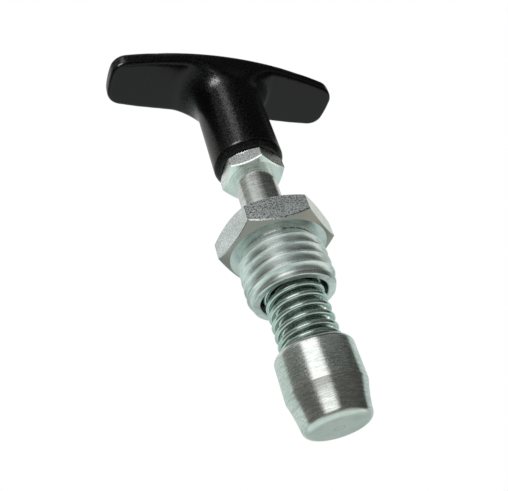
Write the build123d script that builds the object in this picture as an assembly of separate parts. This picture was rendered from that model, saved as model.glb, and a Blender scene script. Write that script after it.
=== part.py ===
"""Indexing plunger: a spring-loaded pull pin with a T-handle.

All sizes are millimetres. The origin is the centre of the hexagon's underside, the face that
seats on the plate the barrel is screwed into. +Z points to the handle, -Z to the pin's nose,
and the handle's bar lies along X.
"""
from build123d import *
from math import cos, pi, radians, sin, sqrt, tan
import os

# --- guide body: hexagon head and threaded barrel, turned in one piece ---
HEX_ACROSS_FLATS = 28.0
HEX_HEIGHT = 8.0
HEX_FACE_DIAMETER = 26.8        # the flat ring left inside the corner chamfers
HEX_TURN = 40.5                 # degrees from the bar's line to a corner
CORNER_CHAMFER_ANGLE = 30.0     # of the hexagon and the lock nut alike

THREAD_DIAMETER = 24.0
THREAD_PITCH = 3.0
THREAD_CREST_WIDTH = 0.5
THREAD_FLANK_ANGLE = 30.0
THREAD_DEPTH = 1.6
THREAD_CUTTER_PROUD = 0.3       # how far the cutter stands out of the thread
THREAD_TURN = 41.5              # degrees, where the groove leaves the barrel's end
BARREL_LENGTH = 15.1
LEAD_IN_LENGTH = 2.7            # the cone that starts the thread
LEAD_IN_END_DIAMETER = 21.9
BARREL_END_ROUND = 0.5
RELIEF_DIAMETER = 20.4          # the undercut between the hexagon and the thread
RELIEF_WIDTH = 1.2

SPRING_BORE_CLEARANCE = 1.0     # round the spring, in radius
SPRING_BORE_CHAMFER = 0.3
GUIDE_WALL = 3.5                # what is left of the hexagon above the spring's bore
GUIDE_CLEARANCE = 0.05          # round the rod, in radius

# --- spindle: rod, pin head and stud, turned in one piece ---
ROD_DIAMETER = 12.0
TRAVEL = 15.3                   # from rest until the head meets the barrel
HEAD_DIAMETER = 20.2
HEAD_SHOULDER_ROUND = 1.2
HEAD_STRAIGHT_LENGTH = 10.6
NOSE_END_DIAMETER = 16.7
NOSE_LENGTH = 8.8
NOSE_BULGE_RADIUS = 38.0        # the nose is slightly barrelled, not a plain cone
NOSE_ROUND = 1.8
STUD_DIAMETER = 10.0
STUD_LENGTH = 19.0
STUD_CHAMFER = 1.0

# --- spring round the rod ---
SPRING_ROD_CLEARANCE = 0.5      # round the rod, in radius
SPRING_WIRE_DIAMETER = 1.5
SPRING_PITCH = 2.8
SPRING_END_TURN = 60.0          # degrees, where the wire's lower end lies
SPRING_SEAT_GAP = 0.02
SPRING_POINTS_PER_TURN = 8

# --- lock nut ---
NUT_ACROSS_FLATS = 16.6
NUT_HEIGHT = 5.0
NUT_FACE_DIAMETER = 15.8
NUT_TURN = 25.0
NUT_STANDOFF = 18.0             # bare rod between the hexagon and the nut

# --- T-handle, moulded round a threaded insert ---
NECK_DIAMETER = 21.0
NECK_FOOT_CHAMFER = 1.6
NECK_LENGTH = 34.7              # from the nut to the bar's underside, on the axis
BAR_LENGTH = 75.4
BAR_THICKNESS = 5.3
BAR_ARCH_RADIUS = 222.0         # the bar's tips droop towards the hexagon
BAR_WIDTH = 21.2
BAR_SIDE_RADIUS = 205.0         # the bar's long sides, bowed outwards
BAR_TIP_RADIUS = 40.0           # the bar's short ends, bowed outwards
BAR_CORNER_ROUND = 5.0
BAR_TOP_ROUND = 1.5
BAR_UNDERSIDE_ROUND = 1.2
FLARE_RADIUS = 9.0              # the hollow round between the neck and the bar

INSERT_ACROSS_FLATS = 14.0
INSERT_LENGTH = 18.0
INSERT_GROOVE_WIDTH = 2.5
INSERT_GROOVE_DEPTH = 0.8

# --- sizes and places that follow from those above ---
SPRING_MEAN_RADIUS = ROD_DIAMETER / 2 + SPRING_ROD_CLEARANCE + SPRING_WIRE_DIAMETER / 2
SPRING_BORE_RADIUS = SPRING_MEAN_RADIUS + SPRING_WIRE_DIAMETER / 2 + SPRING_BORE_CLEARANCE
Z_BORE_FLOOR = HEX_HEIGHT - GUIDE_WALL
Z_BARREL_END = -BARREL_LENGTH
Z_SHOULDER = Z_BARREL_END - TRAVEL
Z_NOSE_START = Z_SHOULDER - HEAD_STRAIGHT_LENGTH
Z_NOSE_END = Z_NOSE_START - NOSE_LENGTH
Z_NUT = HEX_HEIGHT + NUT_STANDOFF
Z_NECK = Z_NUT + NUT_HEIGHT
Z_BAR = Z_NECK + NECK_LENGTH

SAME_PLACE = 1e-3               # how near counts as touching when an edge is looked for


def turned(outline):
    """A solid turned about Z from a closed outline, drawn as (radius, height)."""
    return revolve(Plane.XZ * make_face(outline), Axis.Z)


def upright_rod(radius, z_low, z_high):
    """A round bar about Z between two heights."""
    return Pos(0, 0, (z_low + z_high) / 2) * Cylinder(radius, z_high - z_low)


def ring_edges(solid, radius, z):
    """The circular edges of that radius at that height."""
    circles = solid.edges().filter_by(GeomType.CIRCLE)
    return circles.filter_by(
        lambda edge: abs(edge.radius - radius) < SAME_PLACE
        and abs(edge.center().Z - z) < SAME_PLACE
    )


def hexagon_bar(across_flats, height, face_diameter, turn, z):
    """A hexagonal prism standing on z, with the corners of both ends turned off."""
    corner_radius = across_flats / sqrt(3)
    face_radius = face_diameter / 2
    drop = (corner_radius - face_radius) * tan(radians(CORNER_CHAMFER_ANGLE))
    hexagon = RegularPolygon(across_flats / 2, 6, major_radius=False, rotation=turn)
    outline = Polyline(
        (0, z),
        (face_radius, z),
        (corner_radius, z + drop),
        (corner_radius, z + height - drop),
        (face_radius, z + height),
        (0, z + height),
        close=True,
    )
    return extrude(Pos(0, 0, z) * hexagon, height) & turned(outline)


def thread_groove(z_low, z_high):
    """The 60 degree groove of the barrel's right-hand thread, from z_low to z_high."""
    major = THREAD_DIAMETER / 2
    root = major - THREAD_DEPTH
    outside = major + THREAD_CUTTER_PROUD
    mouth_half = (THREAD_PITCH - THREAD_CREST_WIDTH) / 2
    root_half = mouth_half - THREAD_DEPTH * tan(radians(THREAD_FLANK_ANGLE))
    outside_half = mouth_half + THREAD_CUTTER_PROUD * tan(radians(THREAD_FLANK_ANGLE))
    section = Polyline(
        (root, -root_half),
        (outside, -outside_half),
        (outside, outside_half),
        (root, root_half),
        close=True,
    )
    path = Helix(THREAD_PITCH, z_high - z_low, major)
    groove = sweep(Plane.XZ * make_face(section), path=path, is_frenet=True)
    return Pos(0, 0, z_low) * Rot(0, 0, THREAD_TURN) * groove


def make_guide_body():
    """Hexagon, undercut and threaded barrel, bored for the spring and for the rod."""
    major = THREAD_DIAMETER / 2
    relief = RELIEF_DIAMETER / 2
    lead_in = LEAD_IN_END_DIAMETER / 2
    bore = SPRING_BORE_RADIUS
    guide = ROD_DIAMETER / 2 + GUIDE_CLEARANCE
    barrel_blank = turned(
        Polyline(
            (0, Z_BARREL_END),
            (lead_in, Z_BARREL_END),
            (major, Z_BARREL_END + LEAD_IN_LENGTH),
            (major, -RELIEF_WIDTH - (major - relief)),
            (relief, -RELIEF_WIDTH),
            (relief, 0),
            (0, 0),
            close=True,
        )
    )
    groove = thread_groove(Z_BARREL_END - THREAD_PITCH, -RELIEF_WIDTH)
    barrel = (upright_rod(major, Z_BARREL_END, 0) - groove) & barrel_blank
    hexagon = hexagon_bar(HEX_ACROSS_FLATS, HEX_HEIGHT, HEX_FACE_DIAMETER, HEX_TURN, 0)
    hollow = turned(
        Polyline(
            (0, Z_BARREL_END),
            (bore + SPRING_BORE_CHAMFER, Z_BARREL_END),
            (bore, Z_BARREL_END + SPRING_BORE_CHAMFER),
            (bore, Z_BORE_FLOOR),
            (guide, Z_BORE_FLOOR),
            (guide, HEX_HEIGHT),
            (0, HEX_HEIGHT),
            close=True,
        )
    )
    body = barrel + hexagon - hollow
    return fillet(ring_edges(body, lead_in, Z_BARREL_END), BARREL_END_ROUND)


def make_spindle():
    """Rod with the pin head at its lower end and the handle's stud at its upper end."""
    head = HEAD_DIAMETER / 2
    nose = NOSE_END_DIAMETER / 2
    rod = ROD_DIAMETER / 2
    stud = STUD_DIAMETER / 2
    z_stud_end = Z_NUT + STUD_LENGTH
    nose_side = RadiusArc((nose, Z_NOSE_END), (head, Z_NOSE_START), NOSE_BULGE_RADIUS)
    straight_sides = Polyline(
        (head, Z_NOSE_START),
        (head, Z_SHOULDER),
        (rod, Z_SHOULDER),
        (rod, Z_NUT),
        (stud, Z_NUT),
        (stud, z_stud_end - STUD_CHAMFER),
        (stud - STUD_CHAMFER, z_stud_end),
        (0, z_stud_end),
        (0, Z_NOSE_END),
        (nose, Z_NOSE_END),
    )
    spindle = turned(nose_side + straight_sides)
    spindle = fillet(ring_edges(spindle, head, Z_SHOULDER), HEAD_SHOULDER_ROUND)
    return fillet(ring_edges(spindle, nose, Z_NOSE_END), NOSE_ROUND)


def make_lock_nut():
    """A thin hexagon nut, bored to the stud."""
    nut = hexagon_bar(NUT_ACROSS_FLATS, NUT_HEIGHT, NUT_FACE_DIAMETER, NUT_TURN, Z_NUT)
    return nut - upright_rod(STUD_DIAMETER / 2, Z_NUT, Z_NECK)


def insert_blank():
    """The insert's outside: a hexagonal bush with a holding groove turned round it."""
    hexagon = RegularPolygon(INSERT_ACROSS_FLATS / 2, 6, major_radius=False)
    bush = extrude(Pos(0, 0, Z_NECK) * hexagon, INSERT_LENGTH)
    z_groove = Z_NECK + (INSERT_LENGTH - INSERT_GROOVE_WIDTH) / 2
    z_groove_top = z_groove + INSERT_GROOVE_WIDTH
    around = upright_rod(INSERT_ACROSS_FLATS, z_groove, z_groove_top)
    core = upright_rod(INSERT_ACROSS_FLATS / 2 - INSERT_GROOVE_DEPTH, z_groove, z_groove_top)
    return bush - (around - core)


def make_handle_insert():
    """The bush, bored to the stud all the way through."""
    return insert_blank() - upright_rod(STUD_DIAMETER / 2, Z_NECK, Z_NECK + INSERT_LENGTH)


def bar_plan():
    """The bar seen along Z: bowed long sides, bowed tips and round corners."""
    side_centre = BAR_SIDE_RADIUS - BAR_WIDTH / 2
    tip_centre = BAR_LENGTH / 2 - BAR_TIP_RADIUS
    side = Circle(BAR_SIDE_RADIUS - BAR_CORNER_ROUND)
    tip = Circle(BAR_TIP_RADIUS - BAR_CORNER_ROUND)
    sides = Pos(0, side_centre) * side & Pos(0, -side_centre) * side
    tips = Pos(tip_centre, 0) * tip & Pos(-tip_centre, 0) * tip
    return offset(sides & tips, BAR_CORNER_ROUND)


def bar_arch():
    """The bar seen along Y: a curved strip of even thickness, drooping to its tips."""
    centre = Pos(0, Z_BAR - BAR_ARCH_RADIUS)
    strip = Circle(BAR_ARCH_RADIUS + BAR_THICKNESS) - Circle(BAR_ARCH_RADIUS)
    window = Pos(0, Z_BAR) * Rectangle(2 * BAR_LENGTH, BAR_ARCH_RADIUS)
    return centre * strip & window


def neck_outline():
    """Half of the neck seen along Y, with the hollow flare under the bar."""
    neck = NECK_DIAMETER / 2
    flare_top = neck + FLARE_RADIUS
    z_inside = Z_BAR + BAR_THICKNESS / 2
    hollow = RadiusArc((neck, Z_BAR - FLARE_RADIUS), (flare_top, Z_BAR), FLARE_RADIUS)
    straight_sides = Polyline(
        (flare_top, Z_BAR),
        (flare_top, z_inside),
        (0, z_inside),
        (0, Z_NECK),
        (neck - NECK_FOOT_CHAMFER, Z_NECK),
        (neck, Z_NECK + NECK_FOOT_CHAMFER),
        (neck, Z_BAR - FLARE_RADIUS),
    )
    return hollow + straight_sides


def outline_edges(handle, column):
    """The edges where the handle's side walls end, above and below."""
    walls = column.faces().filter_by(Axis.Z, reverse=True)

    def on_walls(place):
        return min(wall.distance_to(place) for wall in walls) < SAME_PLACE

    return handle.edges().filter_by(
        lambda edge: edge.geom_type != GeomType.LINE
        and on_walls(edge.position_at(0.3))
        and on_walls(edge.position_at(0.6))
    )


def above_middle(edge):
    """Whether an edge runs above the middle of the bar's thickness."""
    place = edge.position_at(0.5)
    arch = Vector(place.X, 0, place.Z - (Z_BAR - BAR_ARCH_RADIUS))
    return arch.length > BAR_ARCH_RADIUS + BAR_THICKNESS / 2


def make_t_handle():
    """The T in one moulding: arched bar, flared neck, and the pocket for its insert."""
    column = extrude(Pos(0, 0, Z_NECK) * bar_plan(), NECK_LENGTH + 2 * BAR_THICKNESS)
    strip = extrude(Plane.XZ * bar_arch(), BAR_WIDTH, both=True)
    handle = (strip & column) + (turned(neck_outline()) & column)
    upper = outline_edges(handle, column).filter_by(above_middle)
    handle = fillet(upper, BAR_TOP_ROUND)
    lower = outline_edges(handle, column).filter_by(
        lambda edge: not above_middle(edge) and edge.length > BAR_UNDERSIDE_ROUND
    )
    handle = fillet(lower, BAR_UNDERSIDE_ROUND)
    return handle - insert_blank()


def spring_rise(turn, turns):
    """Height of the wire's centre above its lower end after so many turns."""
    wire = SPRING_WIRE_DIAMETER
    closed = wire * min(turn, 1.0)
    open_turns = min(max(turn - 1.0, 0.0), turns - 2.0)
    top = wire * max(turn - (turns - 1.0), 0.0)
    return closed + SPRING_PITCH * open_turns + top


def make_spring():
    """A right-hand compression spring with closed ends, coiled round the rod."""
    wire = SPRING_WIRE_DIAMETER
    z_start = Z_SHOULDER + wire / 2 + SPRING_SEAT_GAP
    z_end = Z_BORE_FLOOR - wire / 2 - SPRING_SEAT_GAP
    turns = (z_end - z_start - 2 * wire) / SPRING_PITCH + 2
    steps = round(turns * SPRING_POINTS_PER_TURN)
    points = []
    for i in range(steps + 1):
        turn = turns * i / steps
        angle = radians(SPRING_END_TURN) + 2 * pi * turn
        height = z_start + spring_rise(turn, turns)
        x = SPRING_MEAN_RADIUS * cos(angle)
        y = SPRING_MEAN_RADIUS * sin(angle)
        points.append((x, y, height))
    path = Spline(*points)
    section = Plane(origin=path @ 0, z_dir=path % 0) * Circle(wire / 2)
    return sweep(section, path=path, is_frenet=True)


PIECES = {
    "guide_body": make_guide_body,
    "spindle": make_spindle,
    "spring": make_spring,
    "lock_nut": make_lock_nut,
    "handle_insert": make_handle_insert,
    "t_handle": make_t_handle,
}

os.makedirs("parts", exist_ok=True)
for name, make_piece in PIECES.items():
    export_step(make_piece(), f"parts/{name}.step")
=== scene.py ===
"""Looks of the indexing plunger: its finishes, the soft handle, the spring, light and camera."""
import bpy
from math import cos, pi, radians, sin, tan
from mathutils import Matrix, Vector


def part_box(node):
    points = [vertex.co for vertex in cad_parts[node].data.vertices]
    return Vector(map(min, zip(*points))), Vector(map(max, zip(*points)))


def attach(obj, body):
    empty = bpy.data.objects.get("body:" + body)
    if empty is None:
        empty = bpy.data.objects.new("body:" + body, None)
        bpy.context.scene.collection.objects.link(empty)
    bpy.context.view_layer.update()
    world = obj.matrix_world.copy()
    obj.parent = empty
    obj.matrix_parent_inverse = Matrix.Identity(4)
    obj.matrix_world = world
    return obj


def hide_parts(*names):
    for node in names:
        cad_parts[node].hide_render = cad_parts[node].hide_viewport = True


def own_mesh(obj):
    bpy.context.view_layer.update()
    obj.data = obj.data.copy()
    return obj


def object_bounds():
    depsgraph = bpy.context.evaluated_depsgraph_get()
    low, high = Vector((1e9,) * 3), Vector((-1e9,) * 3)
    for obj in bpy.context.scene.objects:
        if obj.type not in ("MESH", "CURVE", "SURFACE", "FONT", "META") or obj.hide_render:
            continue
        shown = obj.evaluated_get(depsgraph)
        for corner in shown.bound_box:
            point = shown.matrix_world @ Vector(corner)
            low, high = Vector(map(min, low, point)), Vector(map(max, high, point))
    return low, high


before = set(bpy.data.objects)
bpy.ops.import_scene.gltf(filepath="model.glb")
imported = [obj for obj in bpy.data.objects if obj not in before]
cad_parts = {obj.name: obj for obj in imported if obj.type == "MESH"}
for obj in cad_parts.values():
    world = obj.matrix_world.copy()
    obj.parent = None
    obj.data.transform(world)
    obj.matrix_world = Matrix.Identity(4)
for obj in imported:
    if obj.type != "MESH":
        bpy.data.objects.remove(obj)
CAD_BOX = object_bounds()

MM = 0.001

# --- the photograph's camera ---
CAMERA_PLACE = Vector((-77.49, -119.91, -93.67)) * MM
CAMERA_FORWARD = Vector((0.4187, 0.7097, 0.5666))
CAMERA_DOWN = Vector((0.0124, 0.6194, -0.7850))
CAMERA_LENS = 45.21             # in mm, as the sensor is
CAMERA_SENSOR = 36.0
CAMERA_NEAR = 5 * MM

FLOOR_GAP = 75 * MM             # the floor lies this far below the pin's nose
FLOOR_SIZE = 3.0                # in metres
FLOOR_COLOUR = (0.85, 0.85, 0.85, 1.0)
FLOOR_ROUGHNESS = 0.8

# --- the studio that the metal mirrors ---
WHITE = (1.0, 1.0, 1.0)
TEAL = (0.90, 1.04, 1.0)
OLIVE = (1.0, 1.0, 0.92)
# Each band is (sine of its elevation, [(azimuth in degrees, brightness, tint), ...]).
STUDIO_BANDS = [
    (-0.97, [(-180, 0.85, TEAL), (180, 0.85, TEAL)]),
    (
        -0.60,
        [
            (-180, 0.70, TEAL),
            (-155, 0.40, OLIVE),
            (-90, 0.36, OLIVE),
            (-40, 0.50, TEAL),
            (-5, 1.00, OLIVE),
            (30, 0.64, TEAL),
            (57, 0.66, TEAL),
            (120, 0.90, TEAL),
            (180, 0.70, TEAL),
        ],
    ),
    (
        -0.38,
        [
            (-180, 0.30, OLIVE),
            (-150, 0.25, OLIVE),
            (-90, 0.22, OLIVE),
            (-20, 0.20, OLIVE),
            (5, 0.60, TEAL),
            (57, 0.52, TEAL),
            (140, 0.70, TEAL),
            (160, 0.30, OLIVE),
            (180, 0.30, OLIVE),
        ],
    ),
    (
        -0.26,
        [
            (-180, 0.16, OLIVE),
            (-158, 0.18, OLIVE),
            (-144, 0.28, OLIVE),
            (-118, 0.28, OLIVE),
            (-102, 0.12, OLIVE),
            (-8, 0.08, OLIVE),
            (4, 0.60, TEAL),
            (57, 0.50, TEAL),
            (140, 0.72, TEAL),
            (152, 0.20, OLIVE),
            (180, 0.16, OLIVE),
        ],
    ),
    (
        -0.10,
        [
            (-180, 0.14, OLIVE),
            (-154, 0.16, OLIVE),
            (-141, 1.15, WHITE),
            (-110, 1.15, WHITE),
            (-97, 0.11, OLIVE),
            (-8, 0.07, OLIVE),
            (4, 0.66, TEAL),
            (140, 0.73, TEAL),
            (151, 0.18, OLIVE),
            (180, 0.14, OLIVE),
        ],
    ),
    (
        0.41,
        [
            (-180, 0.13, OLIVE),
            (-154, 0.15, OLIVE),
            (-142, 1.55, WHITE),
            (-109, 1.50, WHITE),
            (-96, 0.11, OLIVE),
            (-8, 0.05, OLIVE),
            (4, 0.68, TEAL),
            (140, 0.74, TEAL),
            (151, 0.18, OLIVE),
            (180, 0.13, OLIVE),
        ],
    ),
    (
        0.50,
        [
            (-180, 0.58, TEAL),
            (-154, 0.58, TEAL),
            (-142, 1.35, WHITE),
            (-112, 1.25, WHITE),
            (-98, 0.56, TEAL),
            (-8, 0.50, TEAL),
            (4, 0.72, TEAL),
            (140, 0.78, TEAL),
            (151, 0.68, TEAL),
            (180, 0.58, TEAL),
        ],
    ),
    (
        0.58,
        [
            (-180, 0.36, OLIVE),
            (-150, 1.05, WHITE),
            (-118, 0.92, WHITE),
            (-103, 0.36, WHITE),
            (-92, 0.30, WHITE),
            (-80, 0.06, OLIVE),
            (-8, 0.05, OLIVE),
            (12, 0.74, OLIVE),
            (142, 0.78, WHITE),
            (156, 0.26, OLIVE),
            (180, 0.36, OLIVE),
        ],
    ),
    (
        0.68,
        [
            (-180, 0.34, OLIVE),
            (-150, 0.50, WHITE),
            (-134, 0.22, WHITE),
            (-118, 0.26, WHITE),
            (-103, 0.24, WHITE),
            (-92, 0.16, WHITE),
            (-80, 0.04, OLIVE),
            (-8, 0.04, OLIVE),
            (12, 0.74, OLIVE),
            (142, 0.78, WHITE),
            (156, 0.26, OLIVE),
            (180, 0.34, OLIVE),
        ],
    ),
    (
        0.76,
        [
            (-180, 0.20, WHITE),
            (-166, 0.70, WHITE),
            (-152, 0.06, WHITE),
            (-98, 0.02, WHITE),
            (-8, 0.01, WHITE),
            (12, 0.60, OLIVE),
            (142, 0.70, WHITE),
            (156, 0.26, WHITE),
            (180, 0.20, WHITE),
        ],
    ),
    (0.97, [(-180, 0.50, WHITE), (180, 0.50, WHITE)]),
]
PLAIN_LIGHT = 0.5               # the world's strength as a light on matt surfaces

# --- the Mix node's colour sockets, whose names its other sockets share ---
MIX_COLOUR_A = 6
MIX_COLOUR_B = 7
MIX_COLOUR_RESULT = 2

# --- noise: (scale, detail, roughness) ---
SPECKLE_NOISE = (2900.0, 2.0, 0.6)
CLOUD_NOISE = (260.0, 3.0, 0.5)
BRUSH_NOISE = (3600.0, 3.0, 0.7)
THREAD_NOISE = (2600.0, 3.0, 0.7)
BRASS_NOISE = (3000.0, 2.0, 0.5)
GRAIN_NOISE = (2100.0, 2.0, 0.65)
PLASTIC_CLOUD_NOISE = (120.0, 2.0, 0.5)
NOISE_MIDDLE = 0.5
NOISE_SPAN = (0.3, 0.7)         # what most of a noise's values lie between
NARROW_SPAN = (0.35, 0.65)      # the same, cut closer for more contrast
# The share of its distance from the axis that a point keeps, for noise that runs round in lines.
BRUSH_SQUEEZE = 0.08
THREAD_SQUEEZE = 0.05
BRASS_SQUEEZE = 0.1

# --- zinc plate ---
# Each tint is (the cloud noise's value, colour).
BODY_TINTS = [(0.3, (0.60, 0.66, 0.64)), (0.5, (0.68, 0.73, 0.71)), (0.7, (0.75, 0.79, 0.77))]
NUT_TINTS = [(0.3, (0.74, 0.80, 0.77)), (0.5, (0.80, 0.85, 0.82)), (0.7, (0.84, 0.88, 0.86))]
SPRING_TINTS = [(0.3, (0.50, 0.62, 0.58)), (0.5, (0.58, 0.69, 0.65)), (0.7, (0.64, 0.75, 0.71))]
PIN_TINTS = [(0.3, (0.62, 0.66, 0.63)), (0.5, (0.69, 0.72, 0.69)), (0.7, (0.75, 0.77, 0.74))]
ZINC_ROUGHNESS = 0.20
SPRING_ROUGHNESS = 0.16
ROUGHNESS_SPREAD = 0.3          # the share by which the speckle changes the roughness
BODY_SPARKLE = 1.7
NUT_SPARKLE = 1.6
PIN_SPARKLE = 0.9
SPRING_SPARKLE = 0.4
PIN_BRUSHING = 1.4              # strength of the turning marks round the pin
# Leans are the Z part of a face's direction: 0 on a wall, -1 on an underside.
WALL_LEANS = (0.25, 0.8)        # up or down: a wall to the first, level from the second on
LEVEL_SPECKLE = 0.1             # how much of the walls' speckle a level face has
FRONT_WAYS = (-0.8, -0.9)       # Y parts of a direction: from side wall to front wall
FRONT_SPECKLE = 2.6             # how much more the plate speckles on its front
PLATE_BUMP = 0.03 * MM          # depth of the speckle
PIN_BUMP = 0.004 * MM           # the same on the pin
BRUSH_BUMP = 0.003 * MM         # depth of the turning marks
BUMP_STRENGTH = 0.5

# --- the guide's thread and chamfers ---
THREAD_START = (-0.4 * MM, 0.0) # heights between which the finish changes
THREAD_DULLNESS = 0.12          # added to the body's roughness below the hexagon
THREAD_SPECKLE = 0.25           # how much of the body's speckle the thread has
THREAD_METAL = 0.90             # the thread's plating is part matt
THREAD_LINES = 1.6              # strength of the fine lines that the thread rolls left
THREAD_GAIN = 1.12              # how much paler the thread is than the hexagon
THREAD_ROOT = 10.4 * MM         # radius of the thread's root
THREAD_SPAN = (-11.0 * MM, -2.0 * MM)   # heights between which the root gets painted shade
ROOT_SHADE_DEPTH = 0.12 * MM         # how far out from the root's radius the painted shade reaches
ROOT_SHADE = 0.75               # how much of its brightness the root keeps under the painted shade
LEAD_IN_LEANS = (-0.6, -0.2)    # leans of the cone at the thread's end
LEAD_IN_SHADE = 0.75            # how much of its brightness that cone keeps under painted shade
CHAMFER_LEANS = (-0.95, -0.6)   # leans of the hexagon's chamfers
# painted shade on the hexagon's chamfers: darker and browner than the plate, standing in for their
# darker reflection
CHAMFER_BROWN_SHADE = (0.30, 0.285, 0.26, 1.0)

# --- edges of the hexagon and the lock nut ---
EDGE_WIDTH = 0.6 * MM           # how far a flat's lower edge is rounded
EDGE_ROUND = 0.14 * MM          # how deep
CORNER_SHADE_REACH = 0.07 * MM           # how far a corner's painted shade line reaches in radius
CORNER_SHADE = 0.45               # how much of its brightness a corner keeps under that painted shade
CHAMFER_SLOPE = tan(radians(30))
# (height of the underside, radius of its flat ring, radius of the corners)
HEXAGON_EDGE = (0.0, 13.4 * MM, 16.17 * MM)
NUT_EDGE = (26.0 * MM, 7.9 * MM, 9.58 * MM)

# --- the turning mark in the pin's end ---
MARK_RADIUS = 1.25 * MM
MARK_WIDTH = 0.12 * MM          # to either side of the radius
MARK_REACH = 0.2 * MM           # above the pin's end
MARK_SHADE = 0.72               # how much of its brightness the mark keeps

# --- plastic and brass ---
PLASTIC_SHADES = [(0.3, (0.0012, 0.0012, 0.0012)), (0.7, (0.002, 0.002, 0.002))]
PLASTIC_SHINE = (0.05, 0.33)    # off the undersides, from the grain's low to its high
PLASTIC_ROUGHNESS = (0.19, 0.31)
GRAIN_BUMP = 0.06 * MM
GRAIN_STRENGTH = 0.6
UNDERSIDE_LEANS = (-0.95, -0.75)    # an underside to the first, none from the second on
UNDERSIDE_GRAIN = 0.1           # the grain's strength there
UNDERSIDE_SHINE = 0.38          # the shine there
UNDERSIDE_SHEEN = (1.0, 0.88, 0.90)     # the tint of that shine
BRASS_SHADES = [(0.3, (0.55, 0.40, 0.17)), (0.7, (0.66, 0.50, 0.24))]
BRASS_ROUGHNESS = (0.25, 0.4)

# --- handle ---
HANDLE_VOXEL = 0.4 * MM
HANDLE_SMOOTHING = 6            # times that the whole handle is smoothed
FLARE_SMOOTHING = 90            # times that the flare between bar and neck is
SMOOTHING_STEP = 0.5            # how far a point moves towards its neighbours each time
FLARE_REACH = 27 * MM           # from the axis along the bar, to where the flare has ended
FLARE_DEPTH = 17 * MM           # from the bar's top down the neck
BAR_SKIN = 1.5 * MM             # the bar's top surface, which isn't softened

# --- lamps for the handle ---
# Each is (azimuth and elevation in degrees, distance and size in metres, power in watts).
HANDLE_LAMPS = [
    (-136, 24, 0.28, 0.11, 0.85),
    (-127, 51, 0.32, 0.09, 0.08),
]


def make_camera():
    """The camera that sees the plunger from below its nose."""
    data = bpy.data.cameras.new("camera")
    data.lens = CAMERA_LENS
    data.sensor_width = CAMERA_SENSOR
    data.clip_start = CAMERA_NEAR
    camera = bpy.data.objects.new("camera", data)
    forward = CAMERA_FORWARD.normalized()
    right = CAMERA_DOWN.cross(forward).normalized()
    up = right.cross(forward)
    turn = Matrix((right, up, -forward)).transposed().to_4x4()
    camera.matrix_world = Matrix.Translation(CAMERA_PLACE) @ turn
    bpy.context.scene.collection.objects.link(camera)
    bpy.context.scene.camera = camera


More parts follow.
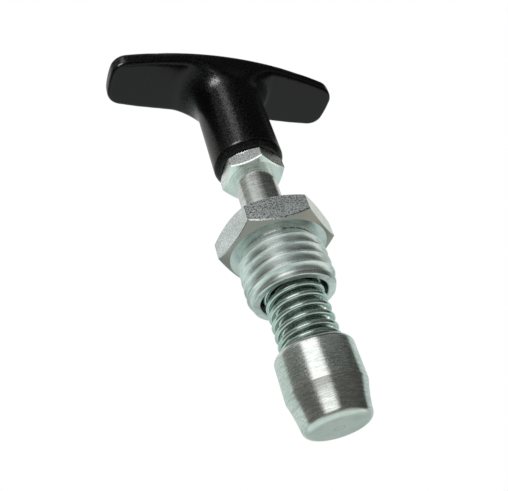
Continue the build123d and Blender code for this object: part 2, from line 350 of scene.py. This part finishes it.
class Nodes:
    """A node tree, with short calls for what the materials and the world share."""

    def __init__(self, tree):
        self.tree = tree
        self.tree.nodes.clear()

    def add(self, kind, **settings):
        node = self.tree.nodes.new(kind)
        for key, value in settings.items():
            setattr(node, key, value)
        return node

    def put(self, value, socket):
        """A link where the value is a socket, and a plain setting where it is a number."""
        if isinstance(value, bpy.types.NodeSocket):
            self.tree.links.new(value, socket)
        else:
            socket.default_value = value

    def math(self, operation, *values):
        node = self.add("ShaderNodeMath", operation=operation)
        for value, socket in zip(values, node.inputs):
            self.put(value, socket)
        return node.outputs[0]

    def times(self, a, b):
        return self.math("MULTIPLY", a, b)

    def swing(self, noise, share):
        """The noise taken about zero, times the share."""
        return self.times(self.math("SUBTRACT", noise, NOISE_MIDDLE), share)

    def shade(self, value, mask, level):
        """The value, which goes to that level of itself as the mask goes to 1."""
        return self.times(value, self.remap(mask, 0.0, 1.0, 1.0, level))

    def between(self, value, low, high):
        """1 where the value lies between the two limits, else 0."""
        above = self.math("GREATER_THAN", value, low)
        return self.times(above, self.math("LESS_THAN", value, high))

    def split(self, vector):
        node = self.add("ShaderNodeSeparateXYZ")
        self.put(vector, node.inputs["Vector"])
        return node.outputs

    def place(self):
        """The point's place in the row frame, in metres."""
        return self.add("ShaderNodeTexCoord").outputs["Object"]

    def normal(self):
        """The surface's direction in the row frame."""
        return self.add("ShaderNodeTexCoord").outputs["Normal"]

    def radius(self):
        """The point's distance from the Z axis."""
        x, y = self.split(self.place())[:2]
        return self.math("SQRT", self.math("MULTIPLY_ADD", x, x, self.math("POWER", y, 2.0)))

    def noise(self, vector, settings):
        node = self.add("ShaderNodeTexNoise")
        scale, detail, roughness = settings
        self.put(vector, node.inputs["Vector"])
        self.put(scale, node.inputs["Scale"])
        self.put(detail, node.inputs["Detail"])
        self.put(roughness, node.inputs["Roughness"])
        return node.outputs["Fac"]

    def remap(self, value, low, high, to_low, to_high, smooth=False):
        node = self.add("ShaderNodeMapRange")
        node.interpolation_type = "SMOOTHSTEP" if smooth else "LINEAR"
        self.put(value, node.inputs["Value"])
        self.put(low, node.inputs["From Min"])
        self.put(high, node.inputs["From Max"])
        self.put(to_low, node.inputs["To Min"])
        self.put(to_high, node.inputs["To Max"])
        return node.outputs["Result"]

    def ramp(self, value, stops, interpolation="LINEAR"):
        """A colour ramp with (position, colour) stops."""
        node = self.add("ShaderNodeValToRGB")
        ramp = node.color_ramp
        ramp.interpolation = interpolation
        while len(ramp.elements) < len(stops):
            ramp.elements.new(0.5)
        for element, (position, colour) in zip(ramp.elements, stops):
            element.position = position
            element.color = (*colour, 1.0)
        self.put(value, node.inputs["Fac"])
        return node.outputs["Color"]

    def mix(self, factor, a, b, kind="MIX"):
        """Two colours mixed by a factor."""
        node = self.add("ShaderNodeMix", data_type="RGBA", blend_type=kind)
        self.put(factor, node.inputs["Factor"])
        self.put(a, node.inputs[MIX_COLOUR_A])
        self.put(b, node.inputs[MIX_COLOUR_B])
        return node.outputs[MIX_COLOUR_RESULT]

    def squeezed_place(self, share):
        """The place with its distance from Z shortened, so that noise runs round the axis."""
        x, y, z = self.split(self.place())
        node = self.add("ShaderNodeCombineXYZ")
        self.put(self.times(x, share), node.inputs["X"])
        self.put(self.times(y, share), node.inputs["Y"])
        self.put(z, node.inputs["Z"])
        return node.outputs["Vector"]

    def bump(self, height, distance, strength=1.0, normal=None):
        node = self.add("ShaderNodeBump")
        self.put(strength, node.inputs["Strength"])
        self.put(distance, node.inputs["Distance"])
        self.put(height, node.inputs["Height"])
        if normal is not None:
            self.put(normal, node.inputs["Normal"])
        return node.outputs["Normal"]


def new_material(name):
    """A material's node tree and its shader."""
    material = bpy.data.materials.new(name)
    material.use_nodes = True
    nodes = Nodes(material.node_tree)
    shader = nodes.add("ShaderNodeBsdfPrincipled")
    output = nodes.add("ShaderNodeOutputMaterial")
    nodes.put(shader.outputs["BSDF"], output.inputs["Surface"])
    return material, nodes, shader


class Plate:
    """Bright zinc plate: a cloudy tint times a gain, with more speckle on walls."""

    def __init__(self, name, roughness):
        self.material, self.nodes, self.shader = new_material(name)
        nodes = self.nodes
        self.z = nodes.split(nodes.place())[2]
        self.y_way, self.lean = nodes.split(nodes.normal())[1:]
        levelness = nodes.math("ABSOLUTE", self.lean)
        self.wall = nodes.remap(levelness, *WALL_LEANS, 1.0, LEVEL_SPECKLE)
        self.speckle = nodes.noise(nodes.place(), SPECKLE_NOISE)
        smoothest = roughness * (1 - ROUGHNESS_SPREAD)
        roughest = roughness * (1 + ROUGHNESS_SPREAD)
        self.rough = nodes.remap(self.speckle, *NOISE_SPAN, smoothest, roughest)
        self.thread = 0.0
        self.metal = 1.0
        self.gain = 1.0
        self.normal = None

    def sparkle(self, strength, share):
        """Speckle in the brightness, in that share of its strength at each place."""
        flicker = self.nodes.swing(self.speckle, share)
        self.gain = self.nodes.math("MULTIPLY_ADD", flicker, strength, self.gain)

    def front_and_walls(self):
        """The share of speckle at each place: most on the front, least on level faces."""
        front = self.nodes.remap(self.y_way, *FRONT_WAYS, 1.0, FRONT_SPECKLE)
        return self.nodes.times(self.wall, front)

    def stipple(self):
        """Speckle in the surface."""
        self.normal = self.nodes.bump(self.speckle, PLATE_BUMP, BUMP_STRENGTH)

    def brush(self, strength):
        """Turning marks round the pin."""
        nodes = self.nodes
        marks = nodes.noise(nodes.squeezed_place(BRUSH_SQUEEZE), BRUSH_NOISE)
        streaks = nodes.swing(marks, self.wall)
        self.gain = nodes.math("MULTIPLY_ADD", streaks, strength, self.gain)
        speckled = nodes.bump(self.speckle, PIN_BUMP, BUMP_STRENGTH)
        self.normal = nodes.bump(marks, BRUSH_BUMP, BUMP_STRENGTH, speckled)

    def mark_end(self):
        """A fine dark ring in the pin's end."""
        nodes = self.nodes
        ring = nodes.between(nodes.radius(), MARK_RADIUS - MARK_WIDTH, MARK_RADIUS + MARK_WIDTH)
        end = nodes.math("LESS_THAN", self.z, CAD_BOX[0][2] + MARK_REACH)
        self.gain = nodes.shade(self.gain, nodes.times(ring, end), MARK_SHADE)

    def round_edges_and_shade_corners(self, edge):
        """Rounded lower edges of the flats, as a bump, and a painted shade line along each corner.
        """
        nodes = self.nodes
        face_height, face_radius, corner_radius = edge
        outside = nodes.math("SUBTRACT", nodes.radius(), face_radius)
        chamfer_height = nodes.math("MULTIPLY_ADD", outside, CHAMFER_SLOPE, face_height)
        above = nodes.math("SUBTRACT", self.z, chamfer_height)
        rise = nodes.remap(above, 0.0, EDGE_WIDTH, 0.0, 1.0, smooth=True)
        self.normal = nodes.bump(nodes.times(rise, self.wall), EDGE_ROUND, 1.0, self.normal)
        # Painted shade: a dark line along each corner of the flats.
        shaded_corner = nodes.math("GREATER_THAN", nodes.radius(), corner_radius - CORNER_SHADE_REACH)
        self.gain = nodes.shade(self.gain, shaded_corner, CORNER_SHADE)

    def find_thread(self):
        """A mask of all that lies below the hexagon, where the speckle is weaker."""
        self.thread = self.nodes.remap(self.z, *THREAD_START, 1.0, 0.0)
        self.wall = self.nodes.shade(self.wall, self.thread, THREAD_SPECKLE)

    def roll_thread(self):
        """The thread's duller and paler plate, with fine lines and painted shade in its root."""
        nodes = self.nodes
        self.rough = nodes.math("MULTIPLY_ADD", self.thread, THREAD_DULLNESS, self.rough)
        # Painted shade on the cone at the thread's end, picked by its lean.
        shaded_cone = nodes.times(nodes.between(self.lean, *LEAD_IN_LEANS), self.thread)
        self.gain = nodes.shade(self.gain, shaded_cone, LEAD_IN_SHADE)
        marks = nodes.noise(nodes.squeezed_place(THREAD_SQUEEZE), THREAD_NOISE)
        lines = nodes.swing(marks, self.thread)
        self.gain = nodes.math("MULTIPLY_ADD", lines, THREAD_LINES, self.gain)
        # Painted shade: the thread's root is darkened, most at the root's radius.
        root_shade_radius = THREAD_ROOT + ROOT_SHADE_DEPTH
        shaded_root = nodes.remap(nodes.radius(), THREAD_ROOT, root_shade_radius, 1.0, 0.0)
        shaded_root = nodes.times(shaded_root, nodes.between(self.z, *THREAD_SPAN))
        self.gain = nodes.shade(self.gain, shaded_root, ROOT_SHADE)
        self.gain = nodes.shade(self.gain, self.thread, THREAD_GAIN)
        self.metal = nodes.remap(self.thread, 0.0, 1.0, 1.0, THREAD_METAL)

    def brown_and_shade_chamfers(self, colour):
        """The colour, with the hexagon's chamfers painted darker and browner, as painted shade
        standing in for their darker reflection.
        """
        leaning = self.nodes.between(self.lean, *CHAMFER_LEANS)
        shaded_chamfer = self.nodes.math("SUBTRACT", leaning, self.thread)
        return self.nodes.mix(shaded_chamfer, colour, CHAMFER_BROWN_SHADE)

    def colour(self, tints):
        """The cloudy tint times the gain."""
        nodes = self.nodes
        tint = nodes.ramp(nodes.noise(nodes.place(), CLOUD_NOISE), tints)
        grey = nodes.add("ShaderNodeCombineColor")
        for channel in ("Red", "Green", "Blue"):
            nodes.put(self.gain, grey.inputs[channel])
        return nodes.mix(1.0, tint, grey.outputs[0], "MULTIPLY")

    def finish(self, colour):
        """Puts what the steps have made into the shader."""
        self.nodes.put(colour, self.shader.inputs["Base Color"])
        self.nodes.put(self.metal, self.shader.inputs["Metallic"])
        self.nodes.put(self.rough, self.shader.inputs["Roughness"])
        self.nodes.put(self.normal, self.shader.inputs["Normal"])
        return self.material


def body_zinc():
    """The guide's plate."""
    plate = Plate("zinc_body", ZINC_ROUGHNESS)
    plate.find_thread()
    plate.sparkle(BODY_SPARKLE, plate.front_and_walls())
    plate.stipple()
    plate.round_edges_and_shade_corners(HEXAGON_EDGE)
    plate.roll_thread()
    return plate.finish(plate.brown_and_shade_chamfers(plate.colour(BODY_TINTS)))


def nut_zinc():
    """The lock nut's plate."""
    plate = Plate("zinc_nut", ZINC_ROUGHNESS)
    plate.sparkle(NUT_SPARKLE, plate.front_and_walls())
    plate.stipple()
    plate.round_edges_and_shade_corners(NUT_EDGE)
    return plate.finish(plate.colour(NUT_TINTS))


def pin_zinc():
    """The spindle's plate."""
    plate = Plate("zinc_pin", ZINC_ROUGHNESS)
    plate.sparkle(PIN_SPARKLE, plate.wall)
    plate.brush(PIN_BRUSHING)
    plate.mark_end()
    return plate.finish(plate.colour(PIN_TINTS))


def spring_zinc():
    """The spring's plate."""
    plate = Plate("zinc_spring", SPRING_ROUGHNESS)
    plate.sparkle(SPRING_SPARKLE, plate.front_and_walls())
    plate.stipple()
    return plate.finish(plate.colour(SPRING_TINTS))


def black_plastic():
    """Glass-filled black plastic, with a moulded grain and smooth, shinier undersides."""
    material, nodes, shader = new_material("black_plastic")
    grain = nodes.noise(nodes.place(), GRAIN_NOISE)
    clouds = nodes.noise(nodes.place(), PLASTIC_CLOUD_NOISE)
    lean = nodes.split(nodes.normal())[2]
    under = nodes.remap(lean, *UNDERSIDE_LEANS, 1.0, 0.0)
    glint = nodes.remap(grain, *NARROW_SPAN, *PLASTIC_SHINE)
    shine = nodes.remap(under, 0.0, 1.0, glint, UNDERSIDE_SHINE)
    sheen = nodes.ramp(under, [(0.0, (1.0, 1.0, 1.0)), (1.0, UNDERSIDE_SHEEN)])
    rough = nodes.remap(grain, *NOISE_SPAN, *PLASTIC_ROUGHNESS)
    strength = nodes.remap(under, 0.0, 1.0, GRAIN_STRENGTH, UNDERSIDE_GRAIN)
    nodes.put(nodes.ramp(clouds, PLASTIC_SHADES), shader.inputs["Base Color"])
    nodes.put(shine, shader.inputs["Specular IOR Level"])
    nodes.put(sheen, shader.inputs["Specular Tint"])
    nodes.put(rough, shader.inputs["Roughness"])
    nodes.put(nodes.bump(grain, GRAIN_BUMP, strength), shader.inputs["Normal"])
    return material


def brass():
    """Plain turned brass, hidden inside the handle."""
    material, nodes, shader = new_material("insert_brass")
    marks = nodes.noise(nodes.squeezed_place(BRASS_SQUEEZE), BRASS_NOISE)
    nodes.put(nodes.ramp(marks, BRASS_SHADES), shader.inputs["Base Color"])
    shader.inputs["Metallic"].default_value = 1.0
    rough = nodes.remap(marks, *NOISE_SPAN, *BRASS_ROUGHNESS)
    nodes.put(rough, shader.inputs["Roughness"])
    return material


def dress(node, material):
    """Gives a CAD node its material."""
    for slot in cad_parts[node].material_slots:
        slot.material = material


def piece_from(node, name, body, material):
    """A piece of its own that starts as a copy of a CAD node's mesh and takes its place."""
    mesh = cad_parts[node].data.copy()
    mesh.materials.clear()
    mesh.materials.append(material)
    piece = bpy.data.objects.new(name, mesh)
    bpy.context.scene.collection.objects.link(piece)
    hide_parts(node)
    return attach(piece, body)


def apply_modifiers(piece):
    """Turns the piece's modifiers into its mesh."""
    graph = bpy.context.evaluated_depsgraph_get()
    mesh = bpy.data.meshes.new_from_object(piece.evaluated_get(graph))
    piece.modifiers.clear()
    piece.data = mesh


def soften(piece, times, weight):
    """Smooths the piece's mesh that many times, as much at each place as its weight says."""
    group = piece.vertex_groups.new(name="soften")
    for vertex in piece.data.vertices:
        group.add([vertex.index], weight(vertex.co), "REPLACE")
    smooth = piece.modifiers.new("smooth", "SMOOTH")
    smooth.factor = SMOOTHING_STEP
    smooth.iterations = times
    smooth.vertex_group = group.name
    apply_modifiers(piece)
    piece.vertex_groups.clear()


def make_handle():
    """The handle with its inner corners and edges softened as in a moulding."""
    handle = piece_from("t_handle", "soft_handle", "pull_pin", black_plastic())
    handle.data.attributes.remove(handle.data.attributes["custom_normal"])
    remesh = handle.modifiers.new("remesh", "REMESH")
    remesh.mode = "VOXEL"
    remesh.voxel_size = HANDLE_VOXEL
    apply_modifiers(handle)
    soften(handle, HANDLE_SMOOTHING, lambda place: 1.0)
    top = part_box("t_handle")[1].z

    def on_flare(place):
        along = 1 - (abs(place.x) - FLARE_REACH / 2) / (FLARE_REACH / 2)
        down = 1 - (top - place.z - FLARE_DEPTH / 2) / (FLARE_DEPTH / 2)
        below = (top - place.z - BAR_SKIN) / BAR_SKIN
        return max(0.0, min(1.0, along, down, below))

    soften(handle, FLARE_SMOOTHING, on_flare)
    handle.data.shade_smooth()
    return handle


def make_coil():
    """The spring, as a piece of its own on the spring's body."""
    coil = piece_from("spring", "coil", "spring", spring_zinc())
    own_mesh(coil)


def studio_colour(nodes):
    """The studio's colour by direction: a ramp round each band, mixed by elevation."""
    x, y, z = nodes.split(nodes.add("ShaderNodeTexCoord").outputs["Generated"])
    turn = nodes.remap(nodes.math("ARCTAN2", y, x), -pi, pi, 0.0, 1.0)
    colour = None
    last_height = None
    for height, stops in STUDIO_BANDS:
        levels = [
            (azimuth / 360 + 0.5, [brightness * share for share in tint])
            for azimuth, brightness, tint in stops
        ]
        band = nodes.ramp(turn, levels, "EASE")
        if colour is None:
            colour = band
        else:
            rise = nodes.remap(z, last_height, height, 0.0, 1.0, smooth=True)
            colour = nodes.mix(rise, colour, band)
        last_height = height
    return colour


def make_world():
    """White behind the plunger, a pale studio in its reflections, and plain light elsewhere."""
    world = bpy.data.worlds.new("studio")
    world.use_nodes = True
    bpy.context.scene.world = world
    nodes = Nodes(world.node_tree)

    def background(colour, strength):
        node = nodes.add("ShaderNodeBackground")
        nodes.put(colour, node.inputs["Color"])
        nodes.put(strength, node.inputs["Strength"])
        return node.outputs[0]

    def choose(factor, otherwise, chosen):
        node = nodes.add("ShaderNodeMixShader")
        nodes.put(factor, node.inputs[0])
        nodes.put(otherwise, node.inputs[1])
        nodes.put(chosen, node.inputs[2])
        return node.outputs[0]

    path = nodes.add("ShaderNodeLightPath").outputs
    mirrored = nodes.math("MAXIMUM", path["Is Glossy Ray"], path["Is Transmission Ray"])
    white = (*WHITE, 1.0)
    light = choose(mirrored, background(white, PLAIN_LIGHT), background(studio_colour(nodes), 1.0))
    seen = choose(path["Is Camera Ray"], light, background(white, 1.0))
    output = nodes.add("ShaderNodeOutputWorld")
    nodes.put(seen, output.inputs["Surface"])


def make_lamps(handle):
    """Soft lamps for the handle's highlights, which leave the metal alone."""
    lit = bpy.data.collections.new("lit_by_lamps")
    lit.objects.link(handle)
    for azimuth, elevation, distance, size, power in HANDLE_LAMPS:
        data = bpy.data.lights.new("lamp", "AREA")
        data.shape = "DISK"
        data.size = size
        data.energy = power
        lamp = bpy.data.objects.new("lamp", data)
        level = cos(radians(elevation))
        turn = radians(azimuth)
        way = Vector((level * cos(turn), level * sin(turn), sin(radians(elevation))))
        lamp.location = way * distance
        lamp.rotation_euler = way.to_track_quat("Z", "Y").to_euler()
        lamp.visible_camera = False
        lamp.visible_diffuse = False
        lamp.light_linking.receiver_collection = lit
        bpy.context.scene.collection.objects.link(lamp)


def make_floor():
    """A pale floor below the plunger's nose."""
    height = CAD_BOX[0][2] - FLOOR_GAP
    half = FLOOR_SIZE / 2
    corners = [(-half, -half), (half, -half), (half, half), (-half, half)]
    mesh = bpy.data.meshes.new("floor")
    mesh.from_pydata([(x, y, height) for x, y in corners], [], [(0, 1, 2, 3)])
    floor = bpy.data.objects.new("floor", mesh)
    bpy.context.scene.collection.objects.link(floor)
    material, _, shader = new_material("pale_floor")
    shader.inputs["Base Color"].default_value = FLOOR_COLOUR
    shader.inputs["Roughness"].default_value = FLOOR_ROUGHNESS
    mesh.materials.append(material)
    floor.visible_glossy = False


dress("guide_body", body_zinc())
dress("lock_nut", nut_zinc())
dress("spindle", pin_zinc())
dress("handle_insert", brass())
soft_handle = make_handle()
make_coil()
make_camera()
make_world()
make_lamps(soft_handle)
make_floor()
bpy.context.scene.view_settings.view_transform = "Standard"
